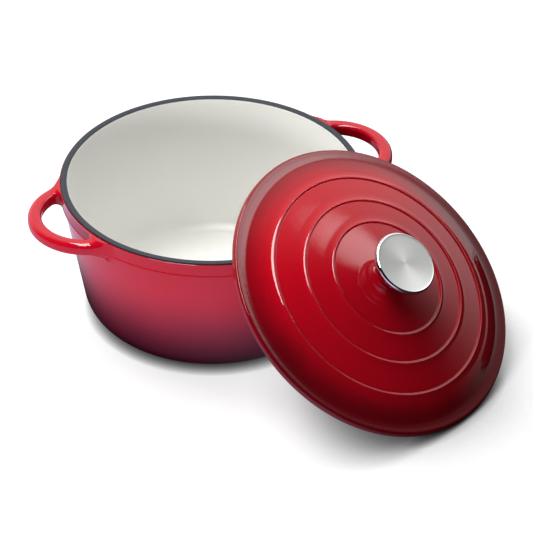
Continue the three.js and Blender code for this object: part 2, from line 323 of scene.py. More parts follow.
def skin_distance(x, y, z):
    """Distance to the outside of the pot with both loop handles blended into the collar.

    The flare of a handle is wider outside the loop than inside it and a little tighter near
    the top, and it stops just under the top of the skin, so that it never climbs the rim.
    """
    body = body_distance(np.hypot(x, y), z)
    middle = HANDLE_TOP - HANDLE_THICKNESS / 2
    across = np.hypot(np.abs(x) - HANDLE_CENTRE, y) - HANDLE_OUTER + HANDLE_WIDTH / 2
    up = z - middle
    edges = HANDLE_EDGES
    outer = np.where(up > 0, edges["outer_top"], edges["outer_bottom"])
    inner = np.where(up > 0, edges["inner_top"], edges["inner_bottom"])
    edge = np.where(across > 0, outer, inner)
    loop = rounded_box(np.abs(across) - HANDLE_WIDTH / 2, np.abs(up) - HANDLE_THICKNESS / 2, edge)
    outside = eased(across / HANDLE_WIDTH + 0.5)
    fade = FLARE_FADE * eased((z - FLARE_FADE_START) / FLARE_FADE_RISE)
    flare = (FLARE_INSIDE + (FLARE_OUTSIDE - FLARE_INSIDE) * outside) * (1 - fade)
    over = np.minimum(z - SKIN_TOP + ROOT_DROP, np.hypot(x, y) - RIM_RADIUS - ROOT_OUT)
    return np.maximum(round_union(body, loop, flare), over)


def slope_of(field, points):
    """Gradient of a field at points."""
    step = 0.02
    slopes = []
    for axis in range(3):
        shift = np.zeros(3)
        shift[axis] = step
        slopes.append((field(*(points + shift).T) - field(*(points - shift).T)) / (2 * step))
    return np.stack(slopes, axis=1)


CELL_CORNERS = np.array([(i, j, k) for i in (0, 1) for j in (0, 1) for k in (0, 1)])
CELL_EDGES = [
    (a, b)
    for a in range(8)
    for b in range(a + 1, 8)
    if np.abs(CELL_CORNERS[a] - CELL_CORNERS[b]).sum() == 1
]
SETTLING_STEPS = 4


def field_mesh(field, angles, radii, heights):
    """Points, normals and faces of the field's zero surface, one point in each grid cell that it crosses.

    The point starts at the mean of the crossings of the cell's edges and then settles on the surface.
    """
    t, r, h = np.meshgrid(angles, radii, heights, indexing="ij")
    values = field(r * np.cos(t), r * np.sin(t), h)
    turns, rows, layers = len(angles), len(radii) - 1, len(heights) - 1
    wrapped = np.concatenate((values, values[:1]))
    cells = np.stack([wrapped[i:turns + i, j:rows + j, k:layers + k] for i, j, k in CELL_CORNERS], -1)
    inside = cells < 0
    active = inside.any(-1) & ~inside.all(-1)
    where = np.argwhere(active)
    at = cells[active]
    total, hits = np.zeros((len(at), 3)), np.zeros(len(at))
    for a, b in CELL_EDGES:
        crossed = (at[:, a] < 0) != (at[:, b] < 0)
        share = np.where(crossed, at[:, a] / np.where(crossed, at[:, a] - at[:, b], 1), 0)[:, None]
        total += crossed[:, None] * (CELL_CORNERS[a] + share * (CELL_CORNERS[b] - CELL_CORNERS[a]))
        hits += crossed
    spot = where + total / hits[:, None]
    angle = np.interp(spot[:, 0], np.arange(turns + 1), np.append(angles, angles[0] + 2 * math.pi))
    radius = np.interp(spot[:, 1], np.arange(len(radii)), radii)
    height = np.interp(spot[:, 2], np.arange(len(heights)), heights)
    points = np.stack((radius * np.cos(angle), radius * np.sin(angle), height), axis=1)
    for _ in range(SETTLING_STEPS):
        slope = slope_of(field, points)
        points -= slope * (field(*points.T) / np.maximum((slope * slope).sum(1), 0.05))[:, None]
    slope = slope_of(field, points)
    normals = slope / np.linalg.norm(slope, axis=1)[:, None]

    number = np.full(active.shape, -1)
    number[active] = np.arange(len(where))
    faces = []
    for axis, (u, v) in enumerate(((1, 2), (0, 2), (0, 1))):
        next_values = np.roll(values, -1, axis=axis)
        crossed = (values < 0) != (next_values < 0)
        if axis:
            crossed[(slice(None),) * axis + (-1,)] = False
        i, j, k = np.nonzero(crossed)
        quad = []
        for du, dv in ((0, 0), (1, 0), (1, 1), (0, 1)):
            cell = [i, j, k]
            cell[u] = cell[u] - du
            cell[v] = cell[v] - dv
            ok = (cell[1] >= 0) & (cell[1] < rows) & (cell[2] >= 0) & (cell[2] < layers)
            row, layer = np.clip(cell[1], 0, rows - 1), np.clip(cell[2], 0, layers - 1)
            quad.append(np.where(ok, number[cell[0] % turns, row, layer], -1))
        quad = np.stack(quad, axis=1)
        faces.append(quad[(quad >= 0).all(1)])
    faces = np.concatenate(faces)
    corners = points[faces]
    facing = np.cross(corners[:, 2] - corners[:, 0], corners[:, 3] - corners[:, 1])
    wrong = (facing * normals[faces].sum(1)).sum(1) < 0
    faces[wrong] = faces[wrong][:, ::-1]
    return points, normals, faces


def shell(points, normals, faces, thickness):
    """Closes an open surface into a thin shell behind it."""
    count = len(points)
    pairs = np.concatenate([faces[:, [k, (k + 1) % 4]] for k in range(4)])
    keys = {tuple(p) for p in pairs.tolist()}
    rims = [(b, a, a + count, b + count) for a, b in keys if (b, a) not in keys]
    both = np.concatenate((points, points - normals * thickness))
    back = faces[:, ::-1] + count
    return both, np.concatenate((normals, -normals)), faces.tolist() + back.tolist() + rims


def stepped(*stops):
    """Grid values from (value, step up to the next value), ending at the last value."""
    values = []
    for (start, step), (end, _) in zip(stops, stops[1:]):
        count = max(1, round((end - start) / step))
        values.extend(start + (end - start) * k / count for k in range(count))
    return np.array(values + [stops[-1][0]])


def pot_exterior(material):
    """The red coat over the wall, the collar and both loops, meshed finest at the collar and the handles."""
    by_handle = math.radians(30)
    half_turn = stepped(
        (-by_handle, math.radians(0.45)),
        (by_handle, math.radians(1.5)),
        (math.pi - by_handle, 1),
    )[:-1]
    angles = np.concatenate((half_turn, half_turn + math.pi))
    handle_end = HANDLE_CENTRE + HANDLE_OUTER
    radii = stepped(
        (BASE_RADIUS - 0.8, 1.3),
        (RIM_RADIUS - 4, 0.5),
        (RIM_RADIUS + 1.5, 0.85),
        (handle_end + 2.1, 1),
    )
    heights = stepped(
        (BASE_HEIGHT - 0.65, 0.8),
        (BASE_HEIGHT + 7, 1.6),
        (COLLAR_BOTTOM - 1.8, 0.3),
        (COLLAR_BOTTOM + 3, 0.55),
        (SKIN_TOP, 1),
    )
    points, normals, faces = field_mesh(skin_distance, angles, radii, heights)
    points, normals, faces = shell(points, normals, faces, COAT)
    return new_piece(
        "pot_red_enamel", points, faces, "pot", [material], normals=normals,
        replaces=["pot_exterior_enamel"],
    )


# ---- The pot's turned pieces ----


def interior_line():
    """Inside of the pot, from a rounded lip just inside the rim ring down the wall and across the floor."""
    mouth = RIM_RADIUS - RIM_WIDTH
    return rounded([
        (mouth + 1.2, LIP_HEIGHT, 0),
        (mouth - 0.2, LIP_HEIGHT - 0.1, 1.8),
        (mouth - 0.5, LIP_HEIGHT - 4.2, 2.0),
        (INNER_FOOT, FLOOR_HEIGHT, INNER_FILLET),
        (40.0, FLOOR_HEIGHT, 0),
        (0.0, FLOOR_HEIGHT, 0),
    ], turn=3.0)


def divided(line, step):
    """The line with extra points wherever two neighbours are further apart than a step."""
    points = [line[0]]
    for start, end in zip(line, line[1:]):
        count = max(1, math.ceil(math.dist(start, end) / step))
        points.extend(start + (end - start) * k / count for k in range(1, count + 1))
    return np.array(points)


def pot_interior(material):
    """The cream coat inside the pot."""
    line = divided(interior_line(), 3.0)
    under = inward(line, COAT)
    under[-1] = (0.0, FLOOR_HEIGHT - COAT)
    return lathe(
        "pot_cream_enamel", np.concatenate((line, under[::-1])), "pot", material,
        sides=256, replaces=["pot_interior_enamel"],
    )


def pot_core(material):
    """The iron between the two coats, with the ground ring that the pot stands on."""
    wall_top = RIM_RADIUS - COLLAR_STEP
    core_top = RIM_BOTTOM - CORE_GAP
    skin = BASE_FILLET - COAT - CORE_GAP
    outside = [
        (BASE_RADIUS + skin * math.cos(a), fillet_height + skin * math.sin(a), 0)
        for a in np.linspace(-math.pi / 2, -wall_taper, 14)
    ]
    inside = inward(interior_line(), COAT + CORE_GAP)[2:]
    outline = rounded([
        (0, 0, 0),
        (BASE_RADIUS - 0.8, 0, 1.0),
        (BASE_RADIUS - 0.4, BASE_HEIGHT + COAT, 0.3),
        *outside,
        (wall_top - COAT - 0.2, COLLAR_BOTTOM, 0),
        (wall_top - COAT, COLLAR_BOTTOM + 2, 0),
        (wall_top - COAT, core_top, 0),
        (inside[0][0], core_top, 0),
        *[(radius, height, 0) for radius, height in inside[:-1]],
        (0, FLOOR_HEIGHT - COAT - CORE_GAP, 0),
    ])
    return lathe("pot_iron_core", outline, "pot", material, replaces=["pot_casting"])


def pot_rim(material):
    """Matt dark ring on top of the wall, with an eased inner edge."""
    inner = RIM_RADIUS - RIM_WIDTH
    outline = rounded([
        (inner + 0.1, RIM_BOTTOM, 0.2),
        (RIM_RADIUS, RIM_BOTTOM, 0.2),
        (RIM_RADIUS, POT_HEIGHT, 0.7),
        (inner + 1.9, POT_HEIGHT, 2.2),
        (inner + 0.1, POT_HEIGHT - 0.75, 0.4),
    ], closed=True)
    return lathe(
        "pot_rim_ring", outline, "pot", material, sides=256, replaces=["pot_rim_enamel"],
    )


# ---- The lid's turned pieces ----


def ridge_points(crest):
    """One ridge from its outer foot to its inner foot: hollow skirt, straight flank, crest, short drop."""
    dome_fall = dome(crest) - dome(crest + 1)
    flank = RIDGE_FLANK_RISE / (math.tan(RIDGE_FLANK_ANGLE) - dome_fall)
    skirt = []
    for share in np.linspace(0, 1, 11):
        radius = crest + RIDGE_SKIRT + (flank - RIDGE_SKIRT) * share
        skirt.append((radius, dome(radius) + (RIDGE_HEIGHT - RIDGE_FLANK_RISE) * share ** 2, 0))
    top = (crest, dome(crest) + RIDGE_HEIGHT, 1.5)
    foot = (crest - RIDGE_DROP, dome(crest - RIDGE_DROP), 0.7)
    return skirt + [top, foot]


def terrace_points(outer, inner):
    """The plain dome between two ridges."""
    count = max(2, round((outer - inner) / 2.2))
    radii = [outer + (inner - outer) * k / count for k in range(1, count)]
    return [(radius, dome(radius), 0) for radius in radii]


def lid_exterior(material):
    """The red coat from the edge of the flange over the three ridges to the knob's seat."""
    corners = [
        (SEAT_OUTER, 0.15, 0),
        (LID_RADIUS, 0.15, FLANGE_EDGE),
        (LID_RADIUS, FLANGE_HEIGHT - 0.4, 3.6),
        (LID_RADIUS - 5.5, FLANGE_HEIGHT - 0.25, 9.0),
        (FLANGE_INSIDE, FLANGE_HEIGHT + 0.2, 15.0),
        (RIDGES[2] + RIDGE_SKIRT + 0.6, dome(RIDGES[2] + RIDGE_SKIRT + 0.6), 16.0),
    ]
    for i in (2, 1, 0):
        inner = RIDGES[i - 1] + RIDGE_SKIRT if i else KNOB_SEAT + 3
        corners += ridge_points(RIDGES[i])
        corners += terrace_points(RIDGES[i] - RIDGE_DROP - 0.8, inner)
    seat = dome(0)
    corners += [(KNOB_SEAT, seat, 12.0), (3.0, seat, 0)]
    line = rounded(corners, turn=3.0)
    return lathe(
        "lid_red_enamel", coat_of(line), "lid", material, lean, sides=288,
        replaces=["lid_exterior_enamel"],
    )


def lid_interior(material):
    """Cream coat over the hollow and down over the locating ring."""
    corners = [(3.2, dome(0) - LID_WALL, 0), (KNOB_SEAT, dome(0) - LID_WALL, 12.0)]
    corners += [(radius, dome(radius) - LID_WALL, 0) for radius in np.linspace(22, 100, 24)]
    corners += [
        (105.0, dome(105.0) - LID_WALL, 12.0),
        (111.0, 4.6, 8.0),
        (RING_INNER - 0.6, 0.6, 3.0),
        (RING_INNER, -RING_DEPTH, 1.4),
        (RING_OUTER, -RING_DEPTH, 1.4),
        (RING_OUTER + 0.2, -0.1, 0.6),
        (RING_OUTER + 0.9, -0.05, 0),
    ]
    line = rounded(corners, turn=4.0)
    return lathe(
        "lid_cream_enamel", coat_of(line), "lid", material, lean, sides=256,
        replaces=["lid_interior_enamel"],
    )


def lid_rim(material):
    """The thin dark ring that sits on the pot's rim."""
    outline = rounded([
        (RING_OUTER + 0.5, 0.0, 0.3),
        (SEAT_OUTER + 0.15, 0.0, 0.3),
        (SEAT_OUTER + 0.15, 0.8, 0.3),
        (RING_OUTER + 0.5, 0.8, 0.3),
    ], closed=True)
    return lathe(
        "lid_seat_ring", outline, "lid", material, lean, sides=256,
        replaces=["lid_rim_enamel"],
    )


# ---- The knob ----

stem_bottom = float(dome(0)) + STEM_GAP
stem_top = stem_bottom + STEM_HEIGHT
cap_bottom = stem_top + CAP_GAP
cap_top = stem_top + STEM_GAP + CAP_HEIGHT


def knob_stem(material):
    """A neck that flares out to carry the cap."""
    flare = STEM_FLARE - STEM_BASE
    arc = [
        (STEM_FLARE + flare * math.cos(a), stem_bottom + 1.7 + flare * math.sin(a), 0)
        for a in np.linspace(math.pi, 1.75, 26)
    ]
    outline = rounded([
        (0, stem_bottom - 0.2, 0),
        (STEM_BASE - 0.5, stem_bottom - 0.2, 0),
        (STEM_BASE, stem_bottom + 0.5, 0.4),
        *arc,
        (arc[-1][0] + 0.3, stem_top, 0.3),
        (0, stem_top, 0),
    ])
    return lathe(
        "knob_neck", outline, "lid", material, lean, sides=160, replaces=["knob_stem"],
    )


def knob_cap(edge_material, face_material):
    """Cap with a polished rolled edge round a dished, brushed face."""
    edge = CAP_HEIGHT / 2
    lip = CAP_RADIUS - edge
    dish = [
        (lip * share, cap_top - CAP_DISH + (CAP_DISH - 0.25) * share ** 2, 0)
        for share in np.linspace(0.97, 0, 26)
    ]
    outline = rounded([
        (0, cap_bottom, 0),
        (lip, cap_bottom, 0),
        (CAP_RADIUS - 0.6, cap_bottom + 0.9, 2.4),
        (CAP_RADIUS, cap_bottom + edge, 3.0),
        (CAP_RADIUS - 0.5, cap_top - 0.9, 1.6),
        (lip + CAP_LIP, cap_top, 0.9),
        *dish,
    ], turn=5.0)
    points, faces = revolve(outline, 160)
    piece = new_piece(
        "knob_cap_face", points, faces, "lid", [edge_material, face_material], lean,
        replaces=["knob_cap"],
    )
    to_lid = lean.inverted()
    for face in piece.data.polygons:
        centre = to_lid @ face.center
        flat = math.hypot(centre.x, centre.y) < (lip + 0.5) * MM
        face.material_index = int(flat and centre.z > (cap_top - 1.2 * CAP_DISH) * MM)
    return piece


washer_top = float(dome(0)) - LID_WALL - WASHER_GAP
washer_bottom = washer_top - WASHER_THICKNESS
head_top = washer_bottom - WASHER_GAP


def knob_washer(material):
    """The plain washer under the screw's head."""
    outline = rounded([
        (WASHER_HOLE, washer_bottom, 0.25),
        (WASHER_RADIUS, washer_bottom, 0.25),
        (WASHER_RADIUS, washer_top, 0.25),
        (WASHER_HOLE, washer_top, 0.25),
    ], closed=True)
    return lathe(
        "knob_washer_plate", outline, "lid", material, lean, sides=96,
        replaces=["knob_washer"],
    )


def cut_slot(piece, bottom, turn):
    """Cuts one slot of a cross recess into the underside of a screw head at a height."""
    mesh = bpy.data.meshes.new("slot")
    corners = [
        (x * SLOT_REACH, y * SLOT_HALF_WIDTH, bottom + z * SLOT_DEPTH)
        for z in (-1, 1) for y in (-1, 1) for x in (-1, 1)
    ]
    sides = [(0, 2, 3, 1), (4, 5, 7, 6), (0, 1, 5, 4), (2, 6, 7, 3), (0, 4, 6, 2), (1, 3, 7, 5)]
    mesh.from_pydata((np.array(corners) * MM).tolist(), [], sides)
    mesh.transform(Matrix.Rotation(turn, 4, "Z"))
    cutter = add_object("slot", mesh)
    cutter.matrix_world = lean
    cut = piece.modifiers.new("slot", "BOOLEAN")
    cut.operation, cut.object, cut.solver = "DIFFERENCE", cutter, "EXACT"
    with bpy.context.temp_override(object=piece, active_object=piece):
        bpy.ops.object.modifier_apply(modifier=cut.name)
    bpy.data.objects.remove(cutter)


def knob_screw(material):
    """Pan-head screw with a cross recess, seen from inside the lid."""
    bottom = head_top - SCREW_HEAD_HEIGHT
    tip = stem_bottom + SCREW_REACH
    outline = rounded([
        (0, bottom, 0),
        (0.55 * SCREW_HEAD, bottom, 3.0),
        (SCREW_HEAD, head_top - 1.5, 1.6),
        (SCREW_HEAD, head_top, 0.2),
        (SCREW_RADIUS, head_top, 0),
        (SCREW_RADIUS, tip - 1.0, 0),
        (SCREW_RADIUS - 0.9, tip, 0),
        (0, tip, 0),
    ])
    piece = lathe(
        "knob_screw_pan", outline, "lid", material, lean, sides=64,
        replaces=["knob_screw"],
    )
    for turn in (0, math.pi / 2):
        cut_slot(piece, bottom, turn)
    piece.data.set_sharp_from_angle(angle=math.radians(35))
    return piece


# ---- Materials ----


def new_material(name, **values):
    """A Principled material with these constant socket values, with its nodes, links and shader."""
    material = bpy.data.materials.new(name)
    material.use_nodes = True
    nodes, links = material.node_tree.nodes, material.node_tree.links
    shader = nodes["Principled BSDF"]
    for key, value in values.items():
        shader.inputs[key.replace("_", " ")].default_value = value
    return material, nodes, links, shader


def noise_node(nodes, links, vector, scale, detail=3.0):
    """Noise with that many features to a metre."""
    noise = nodes.new("ShaderNodeTexNoise")
    noise.inputs["Scale"].default_value = scale
    noise.inputs["Detail"].default_value = detail
    links.new(vector, noise.inputs["Vector"])
    return noise.outputs["Fac"]


def spread(nodes, links, value, low, high):
    """A noise value, from about 0.3 to 0.7, mapped to a range."""
    node = nodes.new("ShaderNodeMapRange")
    node.inputs["From Min"].default_value = 0.3
    node.inputs["From Max"].default_value = 0.7
    node.inputs["To Min"].default_value = low
    node.inputs["To Max"].default_value = high
    links.new(value, node.inputs["Value"])
    return node.outputs["Result"]


def math_node(nodes, links, operation, *terms):
    """The result of one operation on numbers and sockets."""
    node = nodes.new("ShaderNodeMath")
    node.operation = operation
    for socket, term in zip(node.inputs, terms):
        if isinstance(term, (int, float)):
            socket.default_value = term
        else:
            links.new(term, socket)
    return node.outputs["Value"]


def map_node(nodes, links, value, start, end):
    """From 0 to 1 as the value goes from start to end, with soft ends."""
    share = nodes.new("ShaderNodeMapRange")
    share.interpolation_type = "SMOOTHERSTEP"
    share.inputs["From Min"].default_value = start
    share.inputs["From Max"].default_value = end
    links.new(value, share.inputs["Value"])
    return share.outputs["Result"]


def dot_node(nodes, links, vector, direction):
    """How far a vector goes along a direction."""
    dot = nodes.new("ShaderNodeVectorMath")
    dot.operation = "DOT_PRODUCT"
    links.new(vector, dot.inputs[0])
    dot.inputs[1].default_value = direction
    return dot.outputs["Value"]


def bump_node(nodes, links, shader, height, distance):
    """Fine relief on a shader, that many metres deep."""
    bump = nodes.new("ShaderNodeBump")
    bump.inputs["Distance"].default_value = distance
    links.new(height, bump.inputs["Height"])
    links.new(bump.outputs["Normal"], shader.inputs["Normal"])


def set_roughness(nodes, links, shader, value, low, high):
    """Roughness that goes from low to high with a noise value."""
    links.new(spread(nodes, links, value, low, high), shader.inputs["Roughness"])


def set_two_tone(nodes, links, shader, value, dark, light, low=0.35, high=0.65):
    """Base colour that goes from dark to light as a noise value goes from low to high."""
    ramp = nodes.new("ShaderNodeValToRGB")
    for element, at, colour in zip(ramp.color_ramp.elements, (low, high), (dark, light)):
        element.position = at
        element.color = (*colour, 1)
    links.new(value, ramp.inputs["Fac"])
    links.new(ramp.outputs["Color"], shader.inputs["Base Color"])


def position(nodes):
    """Where a point is in its object, in metres."""
    return nodes.new("ShaderNodeTexCoord").outputs["Object"]


def lid_position(nodes, links):
    """Where a point is, measured from the lid's own centre and axes."""
    mapping = nodes.new("ShaderNodeMapping")
    mapping.vector_type = "TEXTURE"
    mapping.inputs["Location"].default_value = lean.to_translation()
    mapping.inputs["Rotation"].default_value = lean.to_euler("XYZ")
    links.new(position(nodes), mapping.inputs["Vector"])
    return mapping.outputs["Vector"]


def out_from_axis(nodes, links, parts):
    """Distance from the lid's axis, from the parts of a lid position."""
    squares = [math_node(nodes, links, "MULTIPLY", parts.outputs[a], parts.outputs[a]) for a in "XY"]
    return math_node(nodes, links, "SQRT", math_node(nodes, links, "ADD", *squares))


def round_the_axis(nodes, links, parts):
    """The direction round the lid's axis, from the parts of a lid position."""
    across = nodes.new("ShaderNodeCombineXYZ")
    links.new(math_node(nodes, links, "MULTIPLY", parts.outputs["Y"], -1.0), across.inputs["X"])
    links.new(parts.outputs["X"], across.inputs["Y"])
    leaning = nodes.new("ShaderNodeMapping")
    leaning.vector_type = "VECTOR"
    leaning.inputs["Rotation"].default_value = lean.to_euler("XYZ")
    links.new(across.outputs["Vector"], leaning.inputs["Vector"])
    to_world = nodes.new("ShaderNodeVectorTransform")
    to_world.vector_type, to_world.convert_from, to_world.convert_to = "VECTOR", "OBJECT", "WORLD"
    links.new(leaning.outputs["Vector"], to_world.inputs["Vector"])
    return to_world.outputs["Vector"]


def colour_ramp(nodes, links, distance, stops):
    """Colours along a distance in metres, from (millimetres, colour) stops."""
    top = stops[-1][0]
    ramp = nodes.new("ShaderNodeValToRGB")
    ramp.color_ramp.interpolation = "B_SPLINE"
    elements = ramp.color_ramp.elements
    while len(elements) < len(stops):
        elements.new(0.5)
    for element, (at, colour) in zip(elements, stops):
        element.position = at / top
        element.color = (*colour, 1)
    links.new(math_node(nodes, links, "DIVIDE", distance, top * MM), ramp.inputs["Fac"])
    return ramp.outputs["Color"]


CLOUD_SHIFT = 0.0022
GRAIN_SHIFT = 0.0012
# Where the lid's painted light fades in along its upper side, in metres.
PAINTED_LIGHT_START = -0.02
PAINTED_LIGHT_END = 0.095


def red_enamel(name, along, stops, painted_light_stops=None, painted_light_side=None):
    """Glossy red enamel whose shade changes with height or with radius.

    The lid's has a second, lighter row of stops, which takes over towards its upper side: painted light, as
    if more light falls there.
    """
    material, nodes, links, shader = new_material(name, IOR=1.5)
    place = position(nodes) if along == "height" else lid_position(nodes, links)
    parts = nodes.new("ShaderNodeSeparateXYZ")
    links.new(place, parts.inputs[0])
    distance = parts.outputs["Z"] if along == "height" else out_from_axis(nodes, links, parts)
    cloud = spread(nodes, links, noise_node(nodes, links, place, 28), -CLOUD_SHIFT, CLOUD_SHIFT)
    grain = spread(nodes, links, noise_node(nodes, links, place, 900, 1.0), -GRAIN_SHIFT, GRAIN_SHIFT)
    distance = math_node(nodes, links, "ADD", math_node(nodes, links, "ADD", distance, cloud), grain)
    colour = colour_ramp(nodes, links, distance, stops)
    # Painted light: towards the lid's upper side a lighter row of stops takes over.
    if painted_light_stops:
        along_side = dot_node(nodes, links, place, painted_light_side)
        share = map_node(nodes, links, along_side, PAINTED_LIGHT_START, PAINTED_LIGHT_END)
        blend = nodes.new("ShaderNodeMix")
        blend.data_type = "RGBA"
        links.new(share, blend.inputs["Factor"])
        links.new(colour, blend.inputs["A"])
        links.new(colour_ramp(nodes, links, distance, painted_light_stops), blend.inputs["B"])
        colour = blend.outputs["Result"]
    links.new(colour, shader.inputs["Base Color"])
    set_roughness(nodes, links, shader, noise_node(nodes, links, place, 60), 0.022, 0.045)
    bump_node(nodes, links, shader, noise_node(nodes, links, place, 170, 2.0), 0.00004)
    return material


def cream_enamel():
    """Satin cream enamel. At a roughness of 0.28 and below, denoising leaves small grey marks on it."""
    material, nodes, links, shader = new_material("cream_enamel", IOR=1.5)
    place = position(nodes)
    cloud = noise_node(nodes, links, place, 22)
    set_two_tone(nodes, links, shader, cloud, (0.893, 0.888, 0.852), (0.900, 0.896, 0.862))
    set_roughness(nodes, links, shader, noise_node(nodes, links, place, 90), 0.32, 0.35)
    return material


def rim_enamel():
    """Matt, slightly gritty dark enamel."""
    material, nodes, links, shader = new_material("rim_enamel", IOR=1.45)
    place = position(nodes)
    grit = noise_node(nodes, links, place, 900, 2.0)
    set_two_tone(nodes, links, shader, grit, (0.021, 0.026, 0.036), (0.034, 0.041, 0.054), high=0.68)
    set_roughness(nodes, links, shader, noise_node(nodes, links, place, 500), 0.5, 0.68)
    bump_node(nodes, links, shader, noise_node(nodes, links, place, 1400, 2.0), 0.00008)
    return material


def bare_iron():
    """Bare cast iron with turned lines, as on the ground base."""
    material, nodes, links, shader = new_material("bare_cast_iron", Metallic=0.85)
    place = position(nodes)
    cloud = noise_node(nodes, links, place, 60, 5.0)
    set_two_tone(nodes, links, shader, cloud, (0.075, 0.073, 0.072), (0.16, 0.157, 0.152), 0.3, 0.7)
    set_roughness(nodes, links, shader, noise_node(nodes, links, place, 180), 0.42, 0.66)
    rings = nodes.new("ShaderNodeTexWave")
    rings.wave_type, rings.rings_direction = "RINGS", "Z"
    rings.inputs["Scale"].default_value = 260
    rings.inputs["Distortion"].default_value = 0.6
    links.new(place, rings.inputs["Vector"])
    bump_node(nodes, links, shader, rings.outputs["Fac"], 0.00005)
    return material


STREAKS_ACROSS = 60.0
BRUSHED_TURN = 0.88


def steel(name, colour, roughness, brushed=0.0):
    """Stainless or plated steel. A brushed one has fine rings round the axis and stretched highlights."""
    material, nodes, links, shader = new_material(name, Metallic=1.0, Anisotropic=brushed)
    place = lid_position(nodes, links)
    if brushed:
        parts = nodes.new("ShaderNodeSeparateXYZ")
        links.new(place, parts.inputs[0])
        links.new(round_the_axis(nodes, links, parts), shader.inputs["Tangent"])
        shader.inputs["Anisotropic Rotation"].default_value = BRUSHED_TURN
        rings = nodes.new("ShaderNodeCombineXYZ")
        radius = out_from_axis(nodes, links, parts)
        links.new(math_node(nodes, links, "MULTIPLY", radius, STREAKS_ACROSS), rings.inputs["X"])
        place = rings.outputs["Vector"]
    streaks = noise_node(nodes, links, place, 90, 4.0)
    dark, light = [c * 0.93 for c in colour], [c * 1.05 for c in colour]
    set_two_tone(nodes, links, shader, streaks, dark, light, 0.3, 0.7)
    set_roughness(nodes, links, shader, streaks, roughness * 0.85, roughness * 1.2)
    bump_node(nodes, links, shader, streaks, 0.000004 if brushed else 0.000002)
    return material


DEEP_RED = Vector((0.0, 0.0012, 0.003))
BRIGHT_RED = Vector((0.60, 0.0028, 0.014))


def shade(share, blue=0.0):
    """The red enamel that far from deep to bright, with some blue added."""
    return DEEP_RED.lerp(BRIGHT_RED, share) + Vector((0, 0, blue))


# The pot's shades are (height, share of bright red, added blue).
POT_STOPS = [
    (height, shade(share, blue))
    for height, share, blue in (
        (0, 0.05, 0.005),
        (15, 0.09, 0.007),
        (31, 0.20, 0.010),
        (54, 0.50, 0.011),
        (77, 0.90, 0.008),
        (96, 0.99, 0.005),
        (130, 0.92, 0.002),
    )
]

# The lid's shades are (radius, share of bright red, share on the upper side, lightened as painted light).
# Both rows darken a little towards the centre: painted shade round the knob.
LID_SHADES = (
    (0, 0.66, 0.79),
    (60, 0.69, 0.90),
    (96, 0.70, 0.98),
    (105, 0.60, 0.94),
    (111, 0.42, 0.78),
    (117, 0.25, 0.58),
    (124, 0.20, 0.46),
    (133, 0.22, 0.46),
)
LID_STOPS = [(radius, shade(share)) for radius, share, _ in LID_SHADES]
LID_PAINTED_LIGHT_STOPS = [(radius, shade(share)) for radius, _, share in LID_SHADES]


# ---- The model ----

pot_red = red_enamel("pot_red_enamel", "height", POT_STOPS)
# The lid's upper side, across its own face, which gets the painted light.
lid_top = lean.to_3x3().inverted() @ Vector((0, 0, 1))
lid_top = Vector((lid_top.x, lid_top.y, 0)).normalized()
lid_red = red_enamel("lid_red_enamel", "radius", LID_STOPS, LID_PAINTED_LIGHT_STOPS, lid_top)
cream = cream_enamel()
dark_rim = rim_enamel()
iron = bare_iron()
polished = steel("polished_steel", (0.74, 0.74, 0.75), 0.09)
brushed_face = steel("brushed_steel", (0.65, 0.65, 0.638), 0.50, brushed=0.45)
plated = steel("plated_steel", (0.50, 0.50, 0.49), 0.33)

pot_exterior(pot_red)
pot_interior(cream)
pot_core(iron)
pot_rim(dark_rim)
lid_exterior(lid_red)
lid_interior(cream)
lid_rim(dark_rim)
knob_stem(polished)
knob_cap(polished, brushed_face)
knob_washer(plated)
knob_screw(plated)

for node, material in {"lid_casting": iron, "knob_threaded_insert": plated}.items():
    cad_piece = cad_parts[node]
    cad_piece.data.materials.clear()
    cad_piece.data.materials.append(material)


# ---- The camera's place, which the floor and the lights are set out from ----

CAMERA_DISTANCE = 3.64
CAMERA_HEADING = math.radians(65.6)
CAMERA_SWING = math.radians(0.905)
CAMERA_RISE = math.radians(35.45)
CAMERA_PITCH = math.radians(-35.0)
CAMERA_LENS = 280.7


def pointing(turn, rise):
    """Unit vector at a turn round Z and a rise above the floor, both in radians."""
    return Vector((math.cos(turn) * math.cos(rise), math.sin(turn) * math.cos(rise), math.sin(rise)))


def heading(turn, rise, distance):
    """A point that far from the origin, at a turn from the camera's heading and at a rise, in degrees."""
    return pointing(CAMERA_HEADING + math.radians(turn), math.radians(rise)) * distance


# ---- Floor ----

FLOOR_RADIUS = 14.0
FLOOR_COLOUR = 0.42
FLOOR_BRIGHTNESS = 0.72
# The floor's painted shadows: how far each looks for cover and how hard it darkens, and where the one by the
# lid's foot fades out.
NEAR_SHADOW_REACH = 0.011
NEAR_SHADOW_POWER = 1.3
WIDE_SHADOW_REACH = 0.14
WIDE_SHADOW_POWER = 2.0
LID_FOOT = Vector((0.168, -0.226, 0))
LID_SHADOW_REACH = (0.205, 0.09)

GLOW_DISC_RADIUS = 6.0
GLOW_DISC_DROP = 0.001
GLOW_DISC_COLOUR = (0.69, 0.69, 0.96, 1)
GLOW_DISC_BRIGHTNESS = 0.95
# Within this ring the glow fades out towards the pot: a painted shadow for the enamel to reflect.
GLOW_RING_CENTRE = heading(100, 0, 0.02)
GLOW_RING_REACH = (0.086, 0.18)
GLOW_SIDE = heading(105, 0, 1)
GLOW_SIDE_REACH = (-0.16, 0.08)


def distance_share(nodes, links, centre, start, end):
    """From 0 to 1 as the distance from a centre goes from start to end."""
    distance = nodes.new("ShaderNodeVectorMath")
    distance.operation = "DISTANCE"
    links.new(position(nodes), distance.inputs[0])
    distance.inputs[1].default_value = centre
    return map_node(nodes, links, distance.outputs["Value"], start, end)


